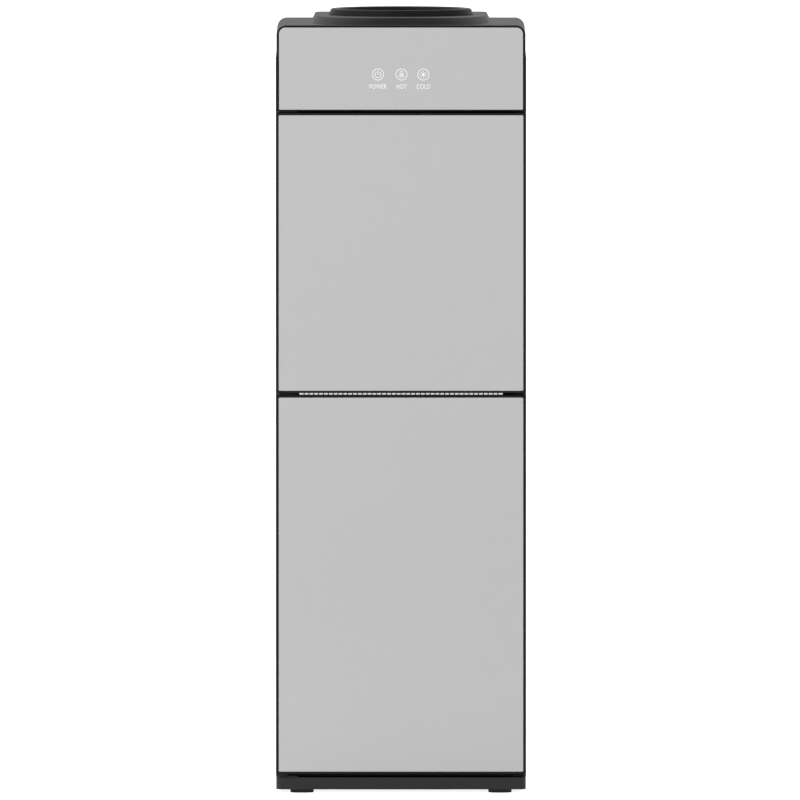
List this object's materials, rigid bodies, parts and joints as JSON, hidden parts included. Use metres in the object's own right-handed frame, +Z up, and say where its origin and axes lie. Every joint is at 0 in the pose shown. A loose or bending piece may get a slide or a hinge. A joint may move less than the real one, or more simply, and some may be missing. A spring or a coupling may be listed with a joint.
{
  "type": "bottle water dispenser",
  "caption": "Floor-standing hot and cold bottle water dispenser: glass-fronted doors over a tap niche and a storage room, bottle seat on top, cooling circuit at the back.",
  "frame": {"origin": "on the floor, under the middle of the cabinet's footprint", "axes": "+Z up, -Y the front with the doors, +X to the right as seen from the front"},
  "size_m": [0.31, 0.32, 0.9675],
  "materials": {
    "cabinet_steel": "dark grey powder coat, fine texture",
    "front_glass": "light grey back-painted glass, glossy and opaque",
    "frame_plastic": "black moulded plastic, satin",
    "dark_moulding": "dark grey moulded plastic, fine grain",
    "seat_plastic": "dark grey moulded plastic, satin",
    "black_fittings": "black plastic, satin",
    "shelf_plastic": "light grey plastic, glossy",
    "pale_plastic": "pale grey plastic",
    "hot_red": "red plastic, glossy",
    "cold_blue": "blue plastic, glossy",
    "switch_green": "green plastic, glossy",
    "stainless_steel": "stainless steel, fine brushed",
    "copper_pipe": "bare copper tube, dull",
    "black_steel": "black paint, semi-gloss",
    "insulation_foam": "white closed-cell foam",
    "silicone_hose": "milky silicone hose",
    "foot_rubber": "black rubber",
    "magnet_strip": "dark magnetic strip",
    "circuit_board": "green laminate board"
  },
  "bodies": {
    "cabinet": {"base_tray": "cabinet_steel", "side_panel_left": "cabinet_steel", "side_panel_right": "cabinet_steel", "rear_panel": "cabinet_steel", "mid_rail": "cabinet_steel", "top_rail": "cabinet_steel", "upper_tank_shelf": "cabinet_steel", "lower_tank_shelf": "cabinet_steel", "fascia_glass": "front_glass", "fascia_frame": "frame_plastic", "indicator_board": "circuit_board", "top_cover": "dark_moulding", "niche_liner": "dark_moulding", "storage_liner": "dark_moulding", "storage_shelf": "shelf_plastic", "hot_tap_body": "black_fittings", "cold_tap_body": "black_fittings", "switch_bezel": "black_fittings", "cord_gland": "black_fittings", "drain_spout": "pale_plastic", "cold_tank": "stainless_steel", "hot_tank": "stainless_steel", "heater_band": "stainless_steel", "cold_tank_jacket": "insulation_foam", "hot_tank_jacket": "insulation_foam", "evaporator_coil": "copper_pipe", "suction_line": "copper_pipe", "discharge_line": "copper_pipe", "filter_drier": "copper_pipe", "compressor": "black_steel", "condenser": "black_steel", "cold_hose": "silicone_hose", "hot_hose": "silicone_hose", "feed_hose": "silicone_hose", "drain_hose": "silicone_hose", "hinge_bottom": "cabinet_steel", "hinge_middle": "cabinet_steel", "hinge_top": "cabinet_steel", "foot_front_left": "foot_rubber", "foot_front_right": "foot_rubber", "foot_rear_left": "foot_rubber", "foot_rear_right": "foot_rubber"},
    "upper_door": {"upper_door_frame": "frame_plastic", "upper_door_glass": "front_glass", "upper_door_back": "dark_moulding", "upper_door_magnet": "magnet_strip"},
    "lower_door": {"lower_door_frame": "frame_plastic", "lower_door_glass": "front_glass", "lower_door_back": "dark_moulding", "lower_door_magnet": "magnet_strip"},
    "hot_lever": {"hot_tap_lever": "hot_red"},
    "hot_lock": {"hot_tap_lock": "pale_plastic"},
    "cold_lever": {"cold_tap_lever": "cold_blue"},
    "tray": {"drip_tray": "dark_moulding"},
    "grille": {"drip_grille": "stainless_steel"},
    "seat": {"bottle_seat": "seat_plastic", "water_probe": "pale_plastic"},
    "hot_rocker": {"hot_switch": "hot_red"},
    "cold_rocker": {"cold_switch": "switch_green"},
    "cap": {"drain_cap": "black_fittings"}
  },
  "joints": [
    {"name": "upper_door_hinge", "type": "hinge", "parent": "cabinet", "child": "upper_door", "pos_m": [-0.145, -0.148, 0.496], "axis": [0, 0, -1], "range_deg": [0, 110]},
    {"name": "lower_door_hinge", "type": "hinge", "parent": "cabinet", "child": "lower_door", "pos_m": [-0.145, -0.148, 0.0239], "axis": [0, 0, -1], "range_deg": [0, 110]},
    {"name": "hot_lever_press", "type": "hinge", "parent": "cabinet", "child": "hot_lever", "pos_m": [-0.05, -0.0923, 0.75485], "axis": [1, 0, 0], "range_deg": [0, 20], "stiffness_Nm_per_rad": 0.06},
    {"name": "hot_lock_slide", "type": "slide", "parent": "hot_lever", "child": "hot_lock", "axis": [0, -1, 0], "range_m": [0, 0.006]},
    {"name": "cold_lever_press", "type": "hinge", "parent": "cabinet", "child": "cold_lever", "pos_m": [0.05, -0.0923, 0.75485], "axis": [1, 0, 0], "range_deg": [0, 20], "stiffness_Nm_per_rad": 0.06},
    {"name": "drip_tray_lift", "type": "slide", "parent": "cabinet", "child": "tray", "axis": [0, 0, 1], "range_m": [0, 0.06]},
    {"name": "drip_grille_lift", "type": "slide", "parent": "tray", "child": "grille", "axis": [0, 0, 1], "range_m": [0, 0.04]},
    {"name": "bottle_seat_lift", "type": "slide", "parent": "cabinet", "child": "seat", "axis": [0, 0, 1], "range_m": [0, 0.08]},
    {"name": "hot_switch_tilt", "type": "hinge", "parent": "cabinet", "child": "hot_rocker", "pos_m": [0.06745, 0.138, 0.864], "axis": [1, 0, 0], "range_deg": [0, 18]},
    {"name": "cold_switch_tilt", "type": "hinge", "parent": "cabinet", "child": "cold_rocker", "pos_m": [0.08255, 0.138, 0.864], "axis": [1, 0, 0], "range_deg": [0, 18]},
    {"name": "drain_cap_pull", "type": "slide", "parent": "cabinet", "child": "cap", "axis": [0, 1, 0], "range_m": [0, 0.02]}
  ]
}
